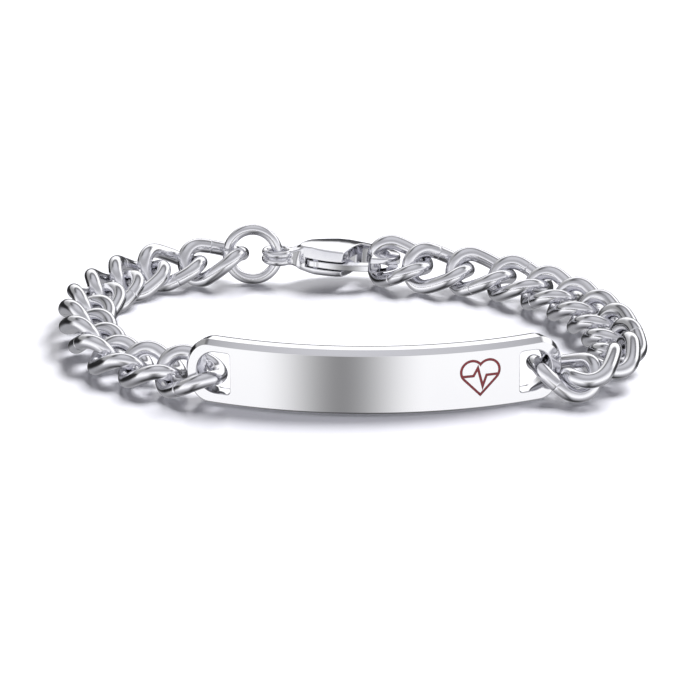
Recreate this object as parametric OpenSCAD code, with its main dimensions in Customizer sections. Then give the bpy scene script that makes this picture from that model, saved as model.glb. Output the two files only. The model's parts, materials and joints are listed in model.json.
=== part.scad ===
// Medical alert bracelet: a curved identity plate that stands on its edge, a curb
// chain at each end of it, and the jump ring and lobster clasp that close the loop.

/* [Identity plate] */
// Length of the plate along its curved outer face
plate_length = 49.4; // [46:0.2:53]
// Height of the plate, which stands on its long edge
plate_height = 8.2; // [7.8:0.1:9.2]
// Thickness of the plate
plate_thickness = 2.6; // [2.2:0.1:2.8]
// Radius of the plate's outer face
plate_radius = 46.5; // [42:0.5:52]
// Bevel along the plate's long edges
edge_bevel = 0.4; // [0.2:0.05:0.6]
// Width of the bar left at each end
bar_width = 1.75; // [1.5:0.05:1.9]
// Height of each slot
slot_height = 5.3; // [5.1:0.1:5.5]
// Length of each slot
slot_length = 4.5; // [4.3:0.1:5]

/* [Heart inlay] */
// Width of each lobe of the heart
heart_lobe = 3.1; // [2.6:0.1:3.2]
// Width of the enamel line
line_width = 0.3; // [0.2:0.05:0.4]
// Distance along the face from the plate's middle to the heart
heart_place = 13.1; // [0:0.1:13.5]
// Depth of the groove that holds the enamel
inlay_depth = 0.3; // [0.2:0.05:0.5]
// Gap between the enamel and the walls of its groove
inlay_gap = 0.02; // [0.01:0.01:0.04]

/* [Chain] */
// Diameter of the links' wire
link_wire = 1.7; // [1.5:0.05:1.75]
// Distance from one link to the next
link_pitch = 6; // [5.7:0.1:6.4]
// Width inside a link
link_inside = 4; // [3.8:0.1:4.3]
// Play between two links when the chain is pulled
link_play = 0.35; // [0.25:0.05:0.5]
// Twist of a link from end to end
link_twist = 85; // [80:1:90]

/* [Jump ring] */
// Diameter of the ring's wire
ring_wire = 1.45; // [1.3:0.05:1.5]
// Diameter inside the ring
ring_inside = 5.4; // [5.2:0.1:6]
// Cut where the ring opens
ring_seam = 0.12; // [0.05:0.01:0.2]
// Angle that the ring leans back by
ring_lean = 10; // [4:1:12]

/* [Clasp] */
// Length of the body from its neck to its nose
body_length = 14.6; // [14:0.1:15.5]
// Width of the body
body_width = 8; // [7.6:0.1:8.6]
// Thickness of the body at its middle
body_thickness = 4.2; // [3.8:0.1:4.4]
// Thickness of the body at its nose
nose_thickness = 1.7; // [1.5:0.1:2]
// Width of the metal round the hook's opening
hook_metal = 1.8; // [1.6:0.1:1.9]
// Diameter of the hole in the eye
eye_hole = 2.4; // [2.3:0.05:2.6]
// Metal round the eye's hole
eye_rim = 0.95; // [0.8:0.05:1.1]
// Thickness of the eye
eye_thickness = 2; // [1.8:0.1:2.2]
// Thickness of the lever
lever_thickness = 0.9; // [0.8:0.05:1.1]
// Gap between the lever and the body
lever_gap = 0.15; // [0.1:0.01:0.2]
// Diameter of the lever's pin
pin_diameter = 1.2; // [1:0.05:1.3]
// Length of the lever's pin, which is hidden in the body
pin_length = 2.6; // [2.2:0.1:3]

/* [Hidden] */
$fn = 96;

// Route of the chains on the floor: rows of x, y and roll, each from the plate outwards.
// The chain's first joint is at the plate, so the lists begin at the second.
RIGHT_ROUTE = [[30.1, -12.8, 48], [33.2, -7.2, 62], [34.9, -1.3, 68], [34.6, 4.7, 69], [33.5, 10.6, 70],
    [31.5, 16.3, 72], [28.8, 21.7, 73], [25.1, 26.5, 72], [20.3, 30.3, 68], [14.7, 32.3, 60],
    [8.9, 33, 56], [4.5, 36, 50], [1.3, 40.1, 48]];
LEFT_ROUTE = [[-23.2, -9.4, 108], [-28.2, -4.6, 94], [-31.9, 0.2, 84], [-33.7, 5.8, 75], [-35, 11.7, 71],
    [-35, 17.7, 73], [-33.4, 23.5, 71], [-30.7, 29, 68], [-26.9, 33.7, 69], [-21.4, 35.9, 64],
    [-15.5, 36.1, 71], [-9.5, 36.1, 76]];
// Middle of the plate's outer face, and the angle that the plate is turned by.
PLATE_PLACE = [3.35, -17.8];
PLATE_TURN = 1.3;
right_links = 12;
left_links = 11;

// How each chain's first link hangs in its slot: the heading and the roll in degrees, its
// own twist, the drop towards its free end, and how far its round end sits from the bar's
// middle along the plate and outwards.
RIGHT_HANG = [-22, 103, -85, 11, 0.3, 0.35];
LEFT_HANG = [-33, 118, 70, 3, -0.3, 0.3];

// How far the left chain's last link climbs to the ring, in degrees.
RING_CLIMB = 12;

// How much closer than a full pitch the hook sits to the chain's last joint.
HOOK_SLACK = 0.7;

// Steps round a link, sides of its wire, and steps of the route between two of its points.
link_steps = 16;
wire_sides = 6;
route_steps = 6;

// Small vector helpers.
function unit(v) = v / norm(v);
function plan(p) = [p[0], p[1]];
function turn(v, a) = [v[0] * cos(a) - v[1] * sin(a), v[0] * sin(a) + v[1] * cos(a)];
function column(rows, i) = [for (row = rows) row[i]];

// A point that a smooth curve passes at the share f of the way from b to c.
function smooth(a, b, c, d, f) = ((2 * b) + (c - a) * f + (2 * a - 5 * b + 4 * c - d) * f * f
    + (3 * b - a - 3 * c + d) * f * f * f) / 2;
function smooth_route(p) = let (last = len(p) - 1) concat(
    [for (i = [0 : last - 1], k = [0 : route_steps - 1])
        smooth(p[max(i - 1, 0)], p[i], p[i + 1], p[min(i + 2, last)], k / route_steps)], [p[last]]);

// Length of a route up to each of its points, and the point at a length.
function lengths(p, i = 0, sum = 0) = i == len(p) - 1 ? [sum]
    : concat([sum], lengths(p, i + 1, sum + norm(plan(p[i + 1]) - plan(p[i]))));
function route_at(p, sums, s) = [for (i = [0 : 2]) lookup(s, [for (k = [0 : len(p) - 1]) [sums[k], p[k][i]]])];

// The plate's own measures: the middles of its end bars, its rounded ends and its centre of curve.
bar_middle = plate_length / 2 - bar_width / 2;
end_radius = plate_height / 2 + 0.25;
function plate_centre(k) = k * PLATE_PLACE + turn([0, plate_radius], PLATE_TURN);
function plate_angle(s) = PLATE_TURN + s / plate_radius * 180 / PI;
function plate_point(k, s, depth) = plate_centre(k) + turn([0, depth - plate_radius], plate_angle(s));

// A link's centreline is a loop with round ends, length by width between wire centres.
loop_length = link_pitch + link_wire + link_play;
loop_width = link_inside + link_wire;
end_reach = (loop_length - loop_width) / 2;
joint_lap = (loop_length - link_pitch) / 2;
loop_round = PI * loop_width / 2;
loop_total = 2 * loop_round + 4 * end_reach;
function loop_point(q) = let (r = loop_width / 2, c = end_reach, d = q - floor(q / loop_total) * loop_total)
    d < 2 * c ? [d - c, r]
    : d < 2 * c + loop_round ? let (a = (d - 2 * c) / r * 180 / PI) [c + r * sin(a), r * cos(a)]
    : d < 4 * c + loop_round ? [c - (d - 2 * c - loop_round), -r]
    : let (a = (d - 4 * c - loop_round) / r * 180 / PI) [-c - r * sin(a), -r * cos(a)];

// Axes of a link that heads along t and is rolled about it: along, across and through.
function link_axes(t, roll) = let (side = unit(cross(t, [0, 0, 1])), up = cross(side, t),
    across = cos(roll) * up + sin(roll) * side) [t, across, cross(t, across)];
function wire_point(axes, twist, q) = let (p = loop_point(q), a = twist * p[0] / loop_length)
    p[0] * axes[0] + p[1] * (cos(a) * axes[1] + sin(a) * axes[2]);
function wire_normal(axes, twist, q) = let (a = twist * loop_point(q)[0] / loop_length)
    cos(a) * axes[2] - sin(a) * axes[1];
function link_points(t, roll, twist) = let (axes = link_axes(t, roll), step = loop_total / link_steps)
    [for (i = [0 : link_steps - 1]) let (q = i * step, p = wire_point(axes, twist, q),
        along = unit(wire_point(axes, twist, q + step / 4) - wire_point(axes, twist, q - step / 4)),
        n = wire_normal(axes, twist, q), a = unit(n - (n * along) * along), b = cross(along, a))
        for (j = [0 : wire_sides - 1]) let (w = 360 * j / wire_sides)
            p + link_wire / 2 * (cos(w) * a + sin(w) * b)];
link_faces = [for (i = [0 : link_steps - 1], j = [0 : wire_sides - 1])
    let (k = (i + 1) % link_steps, m = (j + 1) % wire_sides)
    each [[i * wire_sides + j, k * wire_sides + j, k * wire_sides + m],
        [i * wire_sides + j, k * wire_sides + m, i * wire_sides + m]]];

// The link in a slot: its middle in plan and its heading, for the plate's right end (side 1)
// or its left end (side -1). Headings run anticlockwise round the bracelet.
function hang_heading(hang) = turn([1, 0], hang[0]);
function hang_middle(k, side, hang) = let (a = plate_angle(side * bar_middle))
    plate_point(k, side * bar_middle, plate_thickness / 2)
    + side * hang[4] * turn([1, 0], a) - hang[5] * turn([0, 1], a) + side * end_reach * hang_heading(hang);
function first_joint(k, side, hang) = hang_middle(k, side, hang) - side * link_pitch / 2 * hang_heading(hang);

// A chain's smooth route, with the loop's fit k, and the plan point of joint j on it.
function chain_route(k, side, hang, route) = smooth_route(concat([concat(first_joint(k, side, hang), [route[0][2]])],
    [for (p = route) [k * p[0], k * p[1], p[2]]]));
function joint(route, sums, j) = route_at(route, sums, j * link_pitch);

// The clasp's own measures, from the middle of its eye's hole. The last link's joint sits
// in the hook, clear of the lever's tip and held by the nose.
eye_radius = eye_hole / 2 + eye_rim;
body_start = eye_radius + 0.35;
body_end = body_start + body_length;
wall_end = body_start + 6.5;
gate_end = wall_end + 3.9;
pivot = [body_start + 2.8, -1.5];
pivot_radius = 1.35;
tip_reach = gate_end - lever_gap - pivot[0];
lever_drop = 0.2;
nose_middle = body_end - hook_metal / 2;
hook_joint = [nose_middle - 1.4, -0.85];
ring_mean = (ring_inside + ring_wire) / 2;
ring_height = ring_mean * cos(ring_lean) + ring_wire / 2;
eye_height = ring_height - 0.15;
hook_height = 3.2;
clasp_fall = asin((eye_height - hook_height) / norm(hook_joint));
hook_span = norm(hook_joint) * cos(clasp_fall);
ring_play = 0.45;

// Where the ring and the eye come for a loop's fit, and the fit that closes the loop.
function left_end(k) = let (r = chain_route(k, -1, LEFT_HANG, LEFT_ROUTE)) plan(joint(r, lengths(r), left_links));
function right_end(k) = let (r = chain_route(k, 1, RIGHT_HANG, RIGHT_ROUTE)) plan(joint(r, lengths(r), right_links - HOOK_SLACK / link_pitch));
function ring_centre(k) = left_end(k) + [joint_lap - (link_wire + ring_wire) / 2 - ring_play + ring_mean, 0];
function eye_centre(k) = ring_centre(k) + [ring_mean, 0];
function loop_gap(k) = norm(right_end(k) - eye_centre(k)) - hook_span;
function close_loop(k = 1, n = 6) = n == 0 ? k : close_loop(k - loop_gap(k) / 130, n - 1);
fit = close_loop();

right_route = chain_route(fit, 1, RIGHT_HANG, RIGHT_ROUTE);
right_sums = lengths(right_route);
left_route = chain_route(fit, -1, LEFT_HANG, LEFT_ROUTE);
left_sums = lengths(left_route);
ring_place = ring_centre(fit);
eye_place = eye_centre(fit);
clasp_way = right_end(fit) - eye_place;
clasp_turn = atan2(clasp_way[1], clasp_way[0]) - atan2(hook_joint[1], hook_joint[0]);

// Points of link j, counted from 0 at the plate, set on the floor or hung in its slot.
function floor_link(p) = let (low = min(column(p, 2))) [for (v = p) v - [0, 0, low]];
function route_link(route, sums, side, j, climb = 0) = let (a = joint(route, sums, j), b = joint(route, sums, j + 1),
    t = side * unit(plan(b) - plan(a)), middle = (a + b) / 2,
    p = link_points([t[0] * cos(climb), t[1] * cos(climb), side * sin(climb)], middle[2], -link_twist))
    floor_link([for (v = p) v + [middle[0], middle[1], 0]]);
function hung_link(side, hang) = let (h = hang_heading(hang), m = hang_middle(fit, side, hang),
    t = [h[0] * cos(hang[3]), h[1] * cos(hang[3]), -side * sin(hang[3])],
    p = link_points(t, hang[1], -hang[2]))
    floor_link([for (v = p) v + [m[0], m[1], 0]]);
function right_link(j) = j == 0 ? hung_link(1, RIGHT_HANG) : route_link(right_route, right_sums, 1, j);
function left_link(j) = j == 0 ? hung_link(-1, LEFT_HANG)
    : route_link(left_route, left_sums, -1, j, j == left_links - 1 ? RING_CLIMB : 0);

// The bracelet's box in plan, so that its origin is at the middle of what it covers.
edge_points = concat([for (j = [0 : right_links - 1]) each right_link(j)],
    [for (j = [0 : left_links - 1]) each left_link(j)],
    [for (s = [-plate_length / 2 : 0.5 : plate_length / 2]) plate_point(fit, s, 0)],
    [for (p = egg(0)) eye_place + turn([p[0] * cos(clasp_fall), p[1]], clasp_turn)]);
box_middle = [(min(column(edge_points, 0)) + max(column(edge_points, 0))) / 2,
    (min(column(edge_points, 1)) + max(column(edge_points, 1))) / 2];

// The clasp's egg-shaped outline, taken in by an inset, a little fuller at the nose.
function egg(inset) = [for (a = [0 : 12 : 348])
    [body_start + body_length / 2 + (body_length / 2 - inset) * cos(a),
     (body_width / 2 - inset) * sin(a) * (1 + 0.12 * cos(a))]];

module centred() translate([-box_middle[0], -box_middle[1], 0]) children();

// Puts its children on the plate's outer face at the length s from its middle, with x
// along the plate, y into it and z up from its mid height.
module on_plate(s) translate([plate_centre(fit)[0], plate_centre(fit)[1], plate_height / 2])
    rotate(plate_angle(s)) translate([0, -plate_radius, 0]) children();

// Puts its children in the clasp's own frame.
module at_clasp() translate([eye_place[0], eye_place[1], eye_height])
    rotate([0, clasp_fall, clasp_turn]) children();

module plate_section() translate([plate_radius - plate_thickness, -plate_height / 2]) polygon([
    [edge_bevel, 0], [plate_thickness - edge_bevel, 0], [plate_thickness, edge_bevel],
    [plate_thickness, plate_height - edge_bevel], [plate_thickness - edge_bevel, plate_height],
    [edge_bevel, plate_height], [0, plate_height - edge_bevel], [0, edge_bevel]]);

module plate_arc() translate([plate_centre(fit)[0], plate_centre(fit)[1], plate_height / 2])
    rotate(plate_angle(-plate_length / 2) - 90)
    rotate_extrude(angle = plate_length / plate_radius * 180 / PI, $fn = 360) plate_section();

// What is cut from the plate's end to make it round. Side is 1 at the right, -1 at the left.
module end_cut(side) on_plate(side * (plate_length / 2 - end_radius)) rotate([-90, 0, 0])
    translate([0, 0, -plate_thickness]) difference() {
        translate([side > 0 ? 0 : -2 * end_radius, -plate_height, 0])
            cube([2 * end_radius, 2 * plate_height, 3 * plate_thickness]);
        translate([0, 0, -1]) cylinder(r = end_radius, h = 3 * plate_thickness + 2);
    }

module slot_cut(side) on_plate(side * (plate_length / 2 - bar_width - slot_height / 2)) rotate([-90, 0, 0])
    translate([0, 0, -plate_thickness]) union() {
        cylinder(d = slot_height, h = 3 * plate_thickness);
        translate([side > 0 ? slot_height / 2 - slot_length : 0, -slot_height / 2, 0])
            cube([slot_length - slot_height / 2, slot_height, 3 * plate_thickness]);
    }

// Points of one lobe of the heart grown by g, from its lowest point to the cleft, on axes
// turned by 45 degrees from the tip.
lobe_steps = 12;
function lobe(g) = let (r = heart_lobe / 2, cleft = 1.5 * r + sqrt((r + g) * (r + g) / 2 - r * r / 4),
    last = atan2(cleft - r, cleft - 2 * r))
    [for (k = [0 : lobe_steps]) let (a = -90 + (last + 90) * k / lobe_steps)
        [2 * r + (r + g) * cos(a), r + (r + g) * sin(a)]];

// The heart's outline grown by g: the tip, one lobe, and its mirror image back to the tip.
module heart(g) translate([0, -heart_lobe * (1 + 1.5 * sqrt(2)) / 4]) rotate(45) polygon(
    concat([[-g, -g]], lobe(g), [for (k = [lobe_steps - 1 : -1 : 0]) [lobe(g)[k][1], lobe(g)[k][0]]]));

// The pulse line's corners, and its two sides w apart with mitred corners.
PULSE = [[-3, 0.3], [-0.9, 0.3], [-0.35, 1.3], [0.3, -1.1], [0.8, 0.3], [3, 0.3]];
function pulse_way(i) = let (n = len(PULSE) - 1, d = unit(PULSE[min(i + 1, n)] - PULSE[min(i, n - 1)])) [-d[1], d[0]];
function pulse_side(i, w) = let (a = pulse_way(max(i - 1, 0)), b = pulse_way(i)) PULSE[i] + w / 2 * (a + b) / (1 + a * b);
module pulse(w) polygon(concat([for (i = [0 : len(PULSE) - 1]) pulse_side(i, w)],
    [for (i = [len(PULSE) - 1 : -1 : 0]) pulse_side(i, -w)]));

// The enamel line, wider by g on each side.
module heart_line(g) {
    difference() {
        heart(g);
        heart(-line_width - g);
    }
    intersection() {
        heart(-line_width / 2);
        pulse(line_width + 2 * g);
    }
}

// The line sunk to a depth below the plate's curved face.
module heart_band(g, depth, skin) intersection() {
    on_plate(heart_place) rotate([90, 0, 0]) translate([0, 0, -plate_thickness / 2])
        linear_extrude(plate_thickness) heart_line(g);
    translate([plate_centre(fit)[0], plate_centre(fit)[1], 0]) difference() {
        cylinder(r = plate_radius - skin, h = plate_height, $fn = 360);
        translate([0, 0, -1]) cylinder(r = plate_radius - depth, h = plate_height + 2, $fn = 360);
    }
}

module id_plate() color("gainsboro") centred() difference() {
    plate_arc();
    end_cut(1);
    end_cut(-1);
    slot_cut(1);
    slot_cut(-1);
    heart_band(inlay_gap, inlay_depth, -0.2);
}

module heart_inlay() color("darkred") centred() heart_band(0, inlay_depth - inlay_gap, 0.01);

module chain_link(points) color("silver") centred() polyhedron(points, link_faces);

module jump_ring() color("silver") centred() translate([ring_place[0], ring_place[1], ring_height])
    rotate([90 - ring_lean, 0, 0]) rotate(180 + asin(ring_seam / ring_mean) / 2)
    rotate_extrude(angle = 360 - asin(ring_seam / ring_mean), $fn = 128)
    translate([ring_mean, 0]) circle(d = ring_wire, $fn = 48);

// The body seen from above: the hook's opening and the gate's window are cut from the egg.
module body_plan() difference() {
    polygon(egg(0));
    intersection() {
        polygon(egg(hook_metal));
        translate([wall_end, -body_width / 2]) square([body_length, body_width]);
    }
    intersection() {
        translate([wall_end, -body_width]) square([body_length, body_width]);
        translate(pivot) circle(tip_reach + lever_gap);
    }
}

// The body seen from the side: full at the middle, thinner at the neck and the nose.
module body_side() {
    full = body_thickness / 2;
    slim = nose_thickness / 2;
    polygon([[body_start, full - 0.5], [body_start + 1.6, full], [wall_end + 0.5, full], [body_end, slim],
        [body_end, -slim], [wall_end + 0.5, -full], [body_start + 1.6, -full], [body_start, 0.5 - full]]);
}

// The body's crowned section, seen along its length.
crown_radius = 18;
module body_crown() intersection() {
    translate([0, body_thickness / 2 - crown_radius]) circle(crown_radius, $fn = 180);
    translate([0, crown_radius - body_thickness / 2]) circle(crown_radius, $fn = 180);
}

module eye() {
    difference() {
        translate([0, 0, -eye_thickness / 2]) cylinder(r = eye_radius, h = eye_thickness);
        rotate_extrude() translate([eye_radius + 0.15, 0]) circle(d = 0.8, $fn = 32);
    }
    translate([eye_radius - 0.6, -1.2, -eye_thickness / 2]) cube([2, 2.4, eye_thickness]);
}

// Room for the lever and its swing, open towards the front.
module lever_room() translate([0, 0, -lever_thickness / 2 - lever_gap - lever_drop])
    linear_extrude(lever_thickness + 2 * lever_gap) {
        translate(pivot) circle(pivot_radius + lever_gap);
        polygon([[pivot[0] - pivot_radius - lever_gap, pivot[1]], [pivot[0], pivot[1] + pivot_radius + lever_gap],
            [wall_end + 1, 0.4], [wall_end + 1, -body_width], [pivot[0] - pivot_radius - lever_gap, -body_width]]);
    }

module pin_room(clearance) translate([pivot[0], pivot[1], -pin_length / 2 - clearance - lever_drop])
    cylinder(d = pin_diameter + 2 * clearance, h = pin_length + 2 * clearance);

module clasp_body() color("silver") centred() at_clasp() difference() {
    union() {
        intersection() {
            translate([0, 0, -body_thickness / 2]) linear_extrude(body_thickness) body_plan();
            translate([0, body_width, 0]) rotate([90, 0, 0]) linear_extrude(2 * body_width) body_side();
            rotate([90, 0, 90]) linear_extrude(body_end + 1) body_crown();
        }
        eye();
    }
    translate([0, 0, -eye_thickness]) cylinder(d = eye_hole, h = 2 * eye_thickness);
    lever_room();
    pin_room(0.02);
}

// The lever follows the egg's front edge from its pivot to the hook's tip.
module lever_plan() {
    intersection() {
        difference() {
            polygon(egg(0.05));
            polygon(egg(hook_metal - 0.2));
        }
        translate([pivot[0], -body_width]) square([tip_reach, body_width - 1]);
        translate(pivot) circle(tip_reach);
    }
    translate(pivot) circle(pivot_radius);
}

module clasp_lever() color("silver") centred() at_clasp() difference() {
    translate([0, 0, -lever_thickness / 2 - lever_drop]) linear_extrude(lever_thickness) lever_plan();
    pin_room(0.05);
}

module clasp_pin() color("gray") centred() at_clasp() pin_room(0);

id_plate();
heart_inlay();
for (j = [1 : right_links]) chain_link(right_link(j - 1));
for (j = [1 : left_links]) chain_link(left_link(j - 1));
jump_ring();
clasp_body();
clasp_lever();
clasp_pin();
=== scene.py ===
"""Medical alert bracelet in polished steel: a curved identity plate that stands on its
edge, curb chain at both sides, a jump ring and a lobster clasp that closes the loop."""

import json
import math
from collections import namedtuple

import bpy
import numpy as np
from mathutils import Matrix, Vector
from mathutils.geometry import delaunay_2d_cdt


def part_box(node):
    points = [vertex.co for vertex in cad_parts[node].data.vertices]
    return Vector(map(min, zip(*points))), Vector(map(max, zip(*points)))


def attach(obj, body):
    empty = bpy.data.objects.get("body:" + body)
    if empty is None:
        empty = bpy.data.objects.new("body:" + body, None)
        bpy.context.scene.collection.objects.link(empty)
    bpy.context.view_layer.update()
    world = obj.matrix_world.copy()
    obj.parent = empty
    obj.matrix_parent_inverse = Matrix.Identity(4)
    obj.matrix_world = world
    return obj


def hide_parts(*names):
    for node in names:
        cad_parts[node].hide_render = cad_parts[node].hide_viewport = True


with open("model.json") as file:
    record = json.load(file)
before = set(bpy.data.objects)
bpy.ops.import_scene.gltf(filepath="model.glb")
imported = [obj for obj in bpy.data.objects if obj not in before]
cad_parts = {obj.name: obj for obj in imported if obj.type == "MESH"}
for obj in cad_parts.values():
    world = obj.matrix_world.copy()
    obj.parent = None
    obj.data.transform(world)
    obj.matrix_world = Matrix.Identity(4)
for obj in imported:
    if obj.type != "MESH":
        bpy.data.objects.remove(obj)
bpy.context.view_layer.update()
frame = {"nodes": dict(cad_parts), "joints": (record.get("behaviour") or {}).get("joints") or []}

# Every size below is in millimetres and every angle in degrees.
MM, TINY = 0.001, 1e-9

# Plate
PLATE_LENGTH, PLATE_HEIGHT, PLATE_THICKNESS, PLATE_RADIUS = 49.4, 8.2, 2.6, 46.5
PLATE_PLACE, PLATE_TURN = (3.35, -17.8), 1.3
PLATE_END, END_STEPS = 3.4, 40
# Points on the face and the back: their spacing, and how many each way from the middle.
FACE_STEP, FACE_LONG, FACE_HIGH = 0.5, 48, 6
BAR_WIDTH, SLOT_HEIGHT, SLOT_LENGTH, SLOT_CORNER, SLOT_STEPS = 1.75, 5.3, 4.5, 0.4, 8
SLOT_ROUND = SLOT_HEIGHT / 2
SLOT_MIDDLE = PLATE_LENGTH / 2 - BAR_WIDTH - SLOT_ROUND
SLOT_INNER = SLOT_MIDDLE + SLOT_ROUND - SLOT_LENGTH
TOP_CHAMFER, FOOT_CHAMFER, SLOT_CHAMFER = 0.6, 0.26, 0.1
CORNER_ROUND, CORNER_STEPS = 0.13, 3
# The softened back edge: how far in from the rim, and how far short of the back.
BACK_EDGE = [(0.0, 0.62), (0.08, 0.12), (0.2, 0.0), (0.4, 0.0)]

# Heart, with the pulse line's corners seen from its middle
HEART_LOBE, LINE_WIDTH, HEART_PLACE = 3.1, 0.3, 13.1
INLAY_DEPTH, INLAY_GAP, INLAY_SKIN = 0.3, 0.02, 0.015
PULSE = [(-3, 0.3), (-0.9, 0.3), (-0.35, 1.3), (0.3, -1.1), (0.8, 0.3), (3, 0.3)]

# Grain of the enamel and of the table's lacquer
ENAMEL_CLOUD, ENAMEL_WAVE, BOARD_TOOTH = 0.4, 0.01, 2 / 3

# Links
LINK_WIRE, LINK_PITCH, LINK_INSIDE, LINK_PLAY, LINK_TWIST = 1.7, 6.0, 4.0, 0.35, 85
LOOP_LENGTH = LINK_PITCH + LINK_WIRE + LINK_PLAY
LOOP_WIDTH = LINK_INSIDE + LINK_WIRE
END_REACH = (LOOP_LENGTH - LOOP_WIDTH) / 2
JOINT_LAP = (LOOP_LENGTH - LINK_PITCH) / 2
LOOP_ROUND = math.pi * LOOP_WIDTH / 2
LOOP_TOTAL = 2 * LOOP_ROUND + 4 * END_REACH
RIGHT_LINKS, LEFT_LINKS = 12, 11

# The same links as full round wire, by its half sizes, pressed flat where two of them meet.
WIRE_ACROSS, WIRE_THROUGH, CONTACT_GAP = 1.0, 0.96, 0.012
LINK_STEPS, WIRE_SIDES, LINE_STEPS = 120, 40, 480
AIM_STEP = 0.05
# Wire within the reach can press. The first look is rough: every sixth point, with a spare
# gap. A dent leaves at least a share of the wire, and its depth is found by halving.
PRESS_REACH, PRESS_SPARE, PRESS_SHARE = 2.6, 0.02, 0.5
PRESS_HALVINGS, PRESS_SMOOTHINGS, ROUGH_LINE = 11, 9, 6
# The fine seam where each link was joined: its rows are in seam widths from its middle,
# and SEAMS is how far round each link it lies, as a share of the way round.
SEAM_DEPTH, SEAM_WIDTH, SEAM_CLEAR = 0.07, 0.045, 0.16
SEAM_ROWS = (-2.4, -1.4, -0.8, -0.35, 0, 0.35, 0.8, 1.4, 2.4)
SEAMS = (0.06, 0.55, 0.31, 0.08, 0.57, 0.05, 0.33, 0.56, 0.07, 0.54, 0.06, 0.58)

# Jump ring
RING_WIRE, RING_INSIDE, RING_SEAM, RING_LEAN = 1.45, 5.4, 0.12, 10
RING_CUT_RISE, RING_EASE, EASE_BEND = 11, 0.13, 0.3
RING_SIDES, RING_STEPS, RING_LINE_STEPS = 40, 160, 200
RING_CLIMB, RING_PLAY = 12, 0.45
RING_MEAN = (RING_INSIDE + RING_WIRE) / 2
RING_HEIGHT = RING_MEAN * math.cos(math.radians(RING_LEAN)) + RING_WIRE / 2

# Clasp, in its own frame: x from the middle of the eye's hole to the nose
BODY_START, BODY_LENGTH, BODY_WIDTH, BODY_FLARE = 2.5, 14.6, 8.0, 0.12
BODY_MIDDLE = BODY_START + BODY_LENGTH / 2
CLASP_SAG = 0.15
# The body's heights above and below its middle, along x.
RISE = [(1.5, 1.35), (3.0, 1.78), (4.6, 2.03), (8.5, 2.1), (10.0, 1.98), (13.5, 1.42), (17.2, 0.85)]
FALL = [(1.5, 1.2), (3.0, 1.6), (5.0, 2.0), (8.0, 2.1), (10.0, 1.95), (13.5, 1.35), (17.2, 0.85)]
# Across it, they fall away by y * y over the crown.
TOP_CROWN, FOOT_CROWN = 36, 30
# Its sides lean in towards the top: how far, from how low, and over what height.
SIDE_LEAN, LEAN_FOOT, LEAN_HEIGHT = 0.55, 0.6, 2.4
HOOK_METAL = 1.8
# The slanted wall behind the mouth: a point on it and the way that it faces.
WALL_SPOT, WALL_WAY = (8.9, -3.4), (0.891, -0.453)
EYE_MEAN, EYE_WIRE, EYE_LIFT, EYE_HOLE = 1.68, 0.5, 0.49, 1.25
NECK_SIDE, NECK_START, NECK_END = 1.1, 1.55, 3.6
# The neck gets thicker towards the body: its first half height, what it gains, from where, how far.
NECK_HEIGHT, NECK_GAIN, GAIN_START, GAIN_REACH = 1.0, 0.5, 1.9, 1.4
PIVOT, PIVOT_RADIUS, TIP_REACH = (5.3, -1.5), 1.35, 7.45
LEVER_THICKNESS, LEVER_GAP, LEVER_DROP = 0.9, 0.15, 0.2
LEVER_SWING, LEVER_SPARE = 17.2, 0.05
LEVER_SKIN, LEVER_TRIM, LEVER_TOP = 0.05, 0.25, -1.0
# The lever's slot is open past this x and below this y.
SLOT_START, SLOT_TOP = 3.8, 0.6
# How far the cast edges are rounded and the inner corners filled.
TOP_EDGE, FOOT_EDGE, MOUTH_EDGE, SLOT_EDGE, NECK_EDGE, LEVER_EDGE = 0.16, 0.7, 0.22, 0.14, 0.3, 0.14
HOOP_FILLET, NECK_FILLET, EYE_FILLET, LEVER_FILLET = 0.1, 0.35, 0.2, 0.3
# The net over each cast piece: its cells, and how its points are pulled to the skin.
BODY_CELL, LEVER_CELL, SKIN_ROUNDS, SKIN_PULLS, LEAST_SLOPE = 0.1, 0.07, 5, 3, 0.25

# Where the chains lie: rows of x, y and roll, from the plate outwards.
RIGHT_ROUTE = [
    (30.1, -12.8, 48), (33.2, -7.2, 62), (34.9, -1.3, 68), (34.6, 4.7, 69), (33.5, 10.6, 70),
    (31.5, 16.3, 72), (28.8, 21.7, 73), (25.1, 26.5, 72), (20.3, 30.3, 68), (14.7, 32.3, 60),
    (8.9, 33, 56), (4.5, 36, 50), (1.3, 40.1, 48)]
LEFT_ROUTE = [
    (-23.2, -9.4, 108), (-28.2, -4.6, 94), (-31.9, 0.2, 84), (-33.7, 5.8, 75), (-35, 11.7, 71),
    (-35, 17.7, 73), (-33.4, 23.5, 71), (-30.7, 29, 68), (-26.9, 33.7, 69), (-21.4, 35.9, 64),
    (-15.5, 36.1, 71), (-9.5, 36.1, 76)]
# The loop's fit, as the closed chain has it: the routes are scaled by it.
FIT = 0.984195
# How the first links hang in the slots.
Hang = namedtuple("Hang", "heading roll twist drop along out")
RIGHT_HANG = Hang(-22, 103, -85, 11, 0.3, 0.35)
LEFT_HANG = Hang(-33, 118, 70, 3, -0.3, 0.3)

# The tent's light by height, from -1 straight below to 1 straight above. Light under WHITE
# gets a cool tint.
FRONT_LIGHT = [(-0.97, 0.06), (-0.88, 0.24), (-0.74, 0.42), (-0.55, 0.62), (-0.33, 1.0), (-0.15, 1.1),
               (0.08, 1.0), (0.34, 0.8), (0.6, 0.42), (0.8, 0.46), (0.96, 0.64)]
BACK_LIGHT = [(-0.97, 0.06), (-0.88, 0.22), (-0.74, 0.34), (-0.5, 0.36), (-0.3, 0.05), (0.17, 0.07),
              (0.26, 1.15), (0.68, 1.15), (0.79, 0.14), (0.86, 0.26), (0.97, 0.64)]
WHITE, GREY_TINT = 0.9, 0.96

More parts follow.
